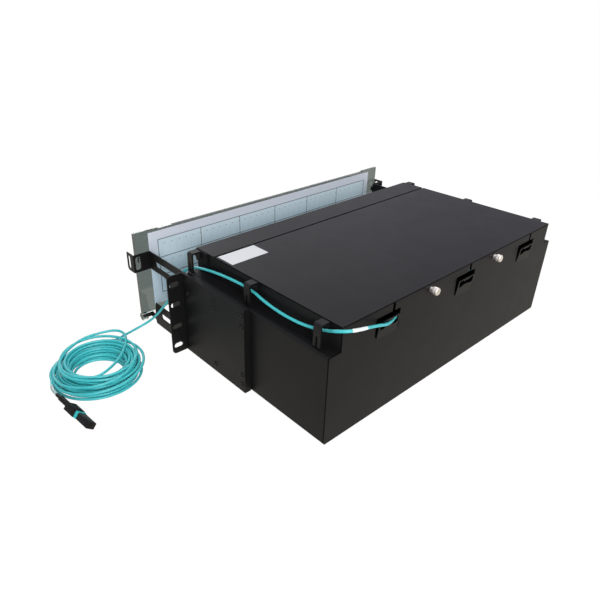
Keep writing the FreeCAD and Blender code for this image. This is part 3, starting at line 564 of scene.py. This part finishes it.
def makeSleeve():
    form = bmesh.new()
    start, end = sleeve["start"], sleeve["end"]
    outX, inX, outZ, inZ = (sleeve[key] for key in ("outerX", "innerX", "outerZ", "innerZ"))
    walls = [
        ((-outX, start, -outZ), (-inX, end, outZ)), ((inX, start, -outZ), (outX, end, outZ)),
        ((-outX, start, inZ), (outX, end, outZ)), ((-outX, start, -outZ), (outX, end, -inZ)),
        ((-sleeve["tabX"], start + sleeve["tabStart"], sleeve["tabLow"]),
         (sleeve["tabX"], end, sleeve["tabHigh"])),
    ]
    for low, high in walls:
        addBlock(form, low, high, sleeve["round"], plugPlace)
    for i in range(sleeve["ridges"]):
        low = start + sleeve["ridgeStart"] + i * sleeve["ridgePitch"]
        high = low + sleeve["ridgeMm"]
        addBlock(form, (-sleeve["topX"], low, sleeve["topLow"]), (sleeve["topX"], high, sleeve["topHigh"]),
                 sleeve["topRound"], plugPlace)
        for side in (-1, 1):
            near, far = sorted((side * sleeve["sideNear"], side * sleeve["sideFar"]))
            addBlock(form, (near, low, -sleeve["sideZ"]), (far, high, sleeve["sideZ"]), sleeve["sideRound"],
                     plugPlace)
    return addPiece("plug_sleeve_ridged", form, [plugPlastic], "sleeve")


def makeConnector():
    pieces = {"plug_boot": makeBoot(), "plug_core": makeCore(), "plug_cap": makeCap(),
              "plug_sleeve": makeSleeve()}
    for node, piece in pieces.items():
        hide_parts(node)
    return list(pieces.values())


plugPieces = makeConnector()
print("connector done")


# Thumbscrews with a diamond knurl, with distances from the face of the rear panel

knob = {"x": 62.5, "z": 125.2, "seat": 231.3, "radius": 4.3, "rows": 14, "steps": 104, "ridges": 26,
        "slant": 0.14, "knurlMm": 0.16, "knurlLow": 3.9, "knurlHigh": 8.7, "foot": [(3.4, 3.4), (3.4, 3.85)],
        "end": [(9.3, 3.75), (9.4, 3.4), (9.4, 2.1), (7.6, 1.7)],
        "collar": [(0, 2.7), (0.25, 3.0), (3.4, 3.0)], "collarSteps": 32,
        "shank": [(-8.3, 1.6), (-7.9, 2.0), (0.2, 2.0)], "shankSteps": 24, "sharpDegrees": 40}


def knurl(row, angle):
    if not 2 <= row <= knob["rows"]:
        return 0
    slant = row * knob["slant"]
    crossed = math.sin(knob["ridges"] * (angle + slant)) * math.sin(knob["ridges"] * (angle - slant))
    return -knob["knurlMm"] + knob["knurlMm"] * crossed


def makeThumbscrews():
    low, high, steps = knob["knurlLow"], knob["knurlHigh"], knob["rows"] - 2
    grip = [(low + (high - low) * i / steps, knob["radius"]) for i in range(steps + 1)]
    for name, side in sides:
        place = placeAt((side * knob["x"], knob["seat"], knob["z"]))
        form = bmesh.new()
        addLathe(form, knob["foot"] + grip + knob["end"], knob["steps"], place, knurl)
        addLathe(form, knob["collar"], knob["collarSteps"], place)
        addLathe(form, knob["shank"], knob["shankSteps"], place)
        piece = addPiece(f"thumbscrew_{name}_knurled", form, [nickel], f"screw_{name}",
                         knob["sharpDegrees"])
        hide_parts(f"thumbscrew_{name}")


makeThumbscrews()
print("thumbscrews done")


# Pan-head screws that hold the brackets and arms

screws = {"x": 221, "steps": 24, "sharpDegrees": 40,
          "head": [(0, 2.9), (0.5, 2.9), (1.0, 2.5), (1.35, 1.6), (1.4, 1.25), (0.7, 1.1)],
          "spots": [(111.4, 98.6), (111.4, 85.0), (111.4, 22.0), (111.4, 9.4), (61.0, 96.0), (61.0, 85.0),
                    (61.0, 10.0), (9.0, 83.0)]}


def makeBracketScrews():
    for name, side in sides:
        form = bmesh.new()
        for y, z in screws["spots"]:
            place = placeAt((side * screws["x"], y, z)) @ facing(side)
            addLathe(form, screws["head"], screws["steps"], place)
        addPiece(f"bracket_screws_{name}", form, [blackScrew], "panel",
                 screws["sharpDegrees"])


makeBracketScrews()
print("bracket screws done")


# Bushes on the hinge pins, between each arm and its knuckle

hinge = {"y": -90.6, "z": 10.1, "bushRadius": 3.2, "boreRadius": 2.0, "inner": 219.8, "outer": 226.3,
         "edge": 0.3, "steps": 28}


def makeHingeBushes():
    bush, bore, edge = hinge["bushRadius"], hinge["boreRadius"], hinge["edge"]
    inner, outer = hinge["inner"], hinge["outer"]
    profile = [(inner, bore), (inner, bush - edge), (inner + edge, bush), (outer - edge, bush),
               (outer, bush - edge), (outer, bore)]
    for name, side in sides:
        form = bmesh.new()
        addLathe(form, profile, hinge["steps"], placeAt((0, hinge["y"], hinge["z"])) @ facing(side))
        addPiece(f"hinge_bush_{name}", form, [clipPlastic], "panel")


makeHingeBushes()
print("hinge bushes done")


# Cable clips: a saddle out from the wall and a leg that is split into two fingers

clip = {"reach": 13.0, "wall": 2.2, "top": 131.2, "corner": 3.2, "cornerSteps": 6, "root": 122.0,
        "underCover": 130.3, "coverEdge": 0.8, "tip": 106.1, "slitTop": 118.0, "slit": 2.4}


def clipOutline(foot):
    # The hook seen from behind, as distance from the wall and height, with its leg down to foot.
    reach, wall, top, root = clip["reach"], clip["wall"], clip["top"], clip["root"]
    under, cover = clip["underCover"], clip["coverEdge"]
    centreX, centreZ = reach - clip["corner"], top - clip["corner"]
    angles = [math.radians(90 * k / clip["cornerSteps"]) for k in range(clip["cornerSteps"] + 1)]

    def arc(radius):
        return [(centreX + radius * math.sin(a), centreZ + radius * math.cos(a)) for a in angles]

    outside = [(0, root), (0, under), (cover, under), (cover, top), *arc(clip["corner"]), (reach, foot)]
    inside = [(reach - wall, foot), *reversed(arc(clip["corner"] - wall)), (wall, top - wall), (wall, root)]
    return outside + inside


def makeClips():
    half = clip["slit"] / 2
    for name in [name for name in nodes if name.startswith("cable_clip")]:
        low, high = (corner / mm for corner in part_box(name))
        side = math.copysign(1, low.x)
        wall = min(abs(low.x), abs(high.x))
        middle = (low.y + high.y) / 2
        form = bmesh.new()
        fingers = ((low.y, middle - half, clip["tip"]), (middle - half, middle + half, clip["slitTop"]),
                   (middle + half, high.y, clip["tip"]))
        for start, end, foot in fingers:
            addPrism(form, [(side * (wall + x), z) for x, z in clipOutline(foot)], start, end)
        bmesh.ops.remove_doubles(form, verts=form.verts, dist=1e-7)
        piece = addPiece(f"{name}_moulded", form, [clipPlastic], "panel")
        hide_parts(name)


makeClips()
print("clips done")


# Adapters with closed shutters, and the fittings of the cassette fronts

front = {"columns": 6, "startX": -161.625, "pitchX": 64.65, "ports": 6, "portPitch": 9.6}
# Blocks as half width, front and rear in Y, middle height, half height, rounding
portBody = (4.3, -3, 3, 0, 6.6, 0.35)
shutter = {"middle": 3.15, "lid": (3.2, -3.25, -2.6, 0, 2.7, 0.2), "lip": (1.6, -3.45, -2.9, 1.6, 0.4, 0.15)}
frontPlate = (30.2, 2.1, 3.2, 0, 7.8, 0.4)
labelStrip = (22, 2.6, 3.1, 13.6, 3.2, 0.15)
ridges = {"count": 5, "start": -6, "pitch": 3, "block": (0.5, -3.9, 2.6, -14.35, 0.25, 0.2)}


def addBar(form, x, z, block, slotIndex=0):
    half, near, far, up, halfHigh, bevelMm = block
    addBlock(form, (x - half, near, z + up - halfHigh), (x + half, far, z + up + halfHigh), bevelMm,
             slotIndex=slotIndex)


def addPort(form, x, centre):
    addBar(form, x, centre, portBody)
    for up in (-1, 1):
        z = centre + up * shutter["middle"]
        half, near, far, away, halfHigh, bevelMm = shutter["lip"]
        addBar(form, x, z, shutter["lid"], 1)
        addBar(form, x, z, (half, near, far, up * away, halfHigh, bevelMm), 1)


def makeAdapters():
    for name in "abc":
        low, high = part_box(f"adapters_{name}")
        centre = (low.z + high.z) / 2 / mm
        form = bmesh.new()
        face = bmesh.new()
        for column in range(front["columns"]):
            middle = front["startX"] + column * front["pitchX"]
            for port in range(front["ports"]):
                addPort(form, middle + (port - (front["ports"] - 1) / 2) * front["portPitch"], centre)
            addBar(face, middle, centre, frontPlate)
            addBar(face, middle, centre, labelStrip, 1)
            for ridge in range(ridges["count"]):
                addBar(face, middle + ridges["start"] + ridge * ridges["pitch"], centre, ridges["block"])
        piece = addPiece(f"adapters_{name}_shuttered", form, [adapterPlastic, shutterPlastic], "panel")
        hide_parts(f"adapters_{name}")
        addPiece(f"cassette_fronts_{name}", face, [cassettePlastic, stickerFilm], "panel")


makeAdapters()
print("adapters done")


# Camera as in the photograph, from behind on the panel's right

lens = {"place": (522.435, 505.930, 396.221), "yaw": 40.711, "pitch": 28.740, "roll": 0.237, "lens": 33.165,
        "sensor": 36, "shiftX": 0.0532, "shiftY": -0.0089, "near": 0.01}


def makeCamera():
    data = bpy.data.cameras.new("camera")
    data.lens = lens["lens"]
    data.sensor_width = lens["sensor"]
    data.shift_x = lens["shiftX"]
    data.shift_y = lens["shiftY"]
    data.clip_start = lens["near"]
    camera = bpy.data.objects.new("camera", data)
    bpy.context.scene.collection.objects.link(camera)
    yaw, pitch = math.radians(lens["yaw"]), math.radians(lens["pitch"])
    forward = Vector((-math.sin(yaw) * math.cos(pitch), -math.cos(yaw) * math.cos(pitch), -math.sin(pitch)))
    turn = forward.to_track_quat("-Z", "Y").to_matrix().to_4x4()
    camera.matrix_world = placeAt(lens["place"]) @ turn @ Matrix.Rotation(math.radians(lens["roll"]), 4, "Z")
    bpy.context.scene.camera = camera


# White floor and soft studio light; a lamp has its place, aim, width and power

stage = {
    "floorSize": 40,
    "floorDrop": 0.0003,
    "floorGrey": 0.8,
    "floorRoughness": 0.75,
    "floorGlow": 0.95,
    "glowStrength": 1.04,
    "floorTint": "#F6F1E4",
    "skyTint": "#F3F2FF",
    "worldLight": 0.22,
    "lamps": {
        "key_softbox": ((0.1, 0.3, 1.8), (0, 0.05, 0), 0.9, 11),
        "front_softbox": ((-1.1, -1.3, 1.0), (0, 0.1, 0.13), 1.3, 2.5),
        "door_softbox": ((-0.3, -1.9, 0.6), (0, -0.05, 0.07), 1.0, 14),
        "rear_softbox": ((1.0, 1.5, 0.9), (0, 0.1, 0.05), 0.8, 26),
    },
}


def backgroundRay(tree):
    # One for the rays that show the background itself: straight to the eye, mirrored or through the door.
    path = addNode(tree, "ShaderNodeLightPath").outputs
    seen = calc(tree, "MAXIMUM", path["Is Camera Ray"], path["Is Glossy Ray"])
    return calc(tree, "MAXIMUM", seen, path["Is Transmission Ray"])


def backgroundColour(tree, tint):
    # White to the eye, with a faint tint in what the black paint mirrors: warm floor, cool sky.
    path = addNode(tree, "ShaderNodeLightPath").outputs
    mirrored = calc(tree, "SUBTRACT", path["Is Glossy Ray"], path["Is Transmission Ray"], use_clamp=True)
    return mixColours(tree, mirrored, (1, 1, 1, 1), toLinear(tint))


def makeFloor():
    form = bmesh.new()
    bmesh.ops.create_grid(form, x_segments=1, y_segments=1, size=stage["floorSize"])
    mesh = finishMesh("studio_floor", form)
    # White studio sweep: it glows to the eye, so that the background stays even.
    paint, tree, shader = newMaterial("white_studio_floor", Base_Color=(*[stage["floorGrey"]] * 3, 1),
                                      Roughness=stage["floorRoughness"])
    inputs = {"Color": backgroundColour(tree, stage["floorTint"]), "Strength": stage["glowStrength"]}
    glow = addNode(tree, "ShaderNodeEmission", inputs)
    share = calc(tree, "MULTIPLY", backgroundRay(tree), stage["floorGlow"])
    mix = addNode(tree, "ShaderNodeMixShader", {0: share, 1: shader.outputs[0], 2: glow.outputs[0]})
    tree.links.new(mix.outputs[0], tree.nodes["Material Output"].inputs["Surface"])
    mesh.materials.append(paint)
    floor = bpy.data.objects.new("studio_floor", mesh)
    floor.location.z = -stage["floorDrop"]
    bpy.context.scene.collection.objects.link(floor)


def makeWorld():
    world = bpy.data.worlds.new("studio")
    bpy.context.scene.world = world
    world.use_nodes = True
    tree = world.node_tree
    background = tree.nodes["Background"]
    tree.links.new(backgroundColour(tree, stage["skyTint"]), background.inputs["Color"])
    inputs = {"Value": backgroundRay(tree), "To Min": stage["worldLight"], "To Max": 1.0}
    strength = addNode(tree, "ShaderNodeMapRange", inputs).outputs["Result"]
    tree.links.new(strength, background.inputs["Strength"])


def makeLamps():
    for name, (place, aim, width, power) in stage["lamps"].items():
        data = bpy.data.lights.new(name, "AREA")
        data.size = width
        data.energy = power
        lamp = bpy.data.objects.new(name, data)
        lamp.location = place
        lamp.rotation_euler = (Vector(aim) - Vector(place)).to_track_quat("-Z", "Y").to_euler()
        bpy.context.scene.collection.objects.link(lamp)


makeCamera()
makeFloor()
makeWorld()
makeLamps()
bpy.context.scene.view_settings.view_transform = "Standard"
print("stage done")

bpy.context.view_layer.update()
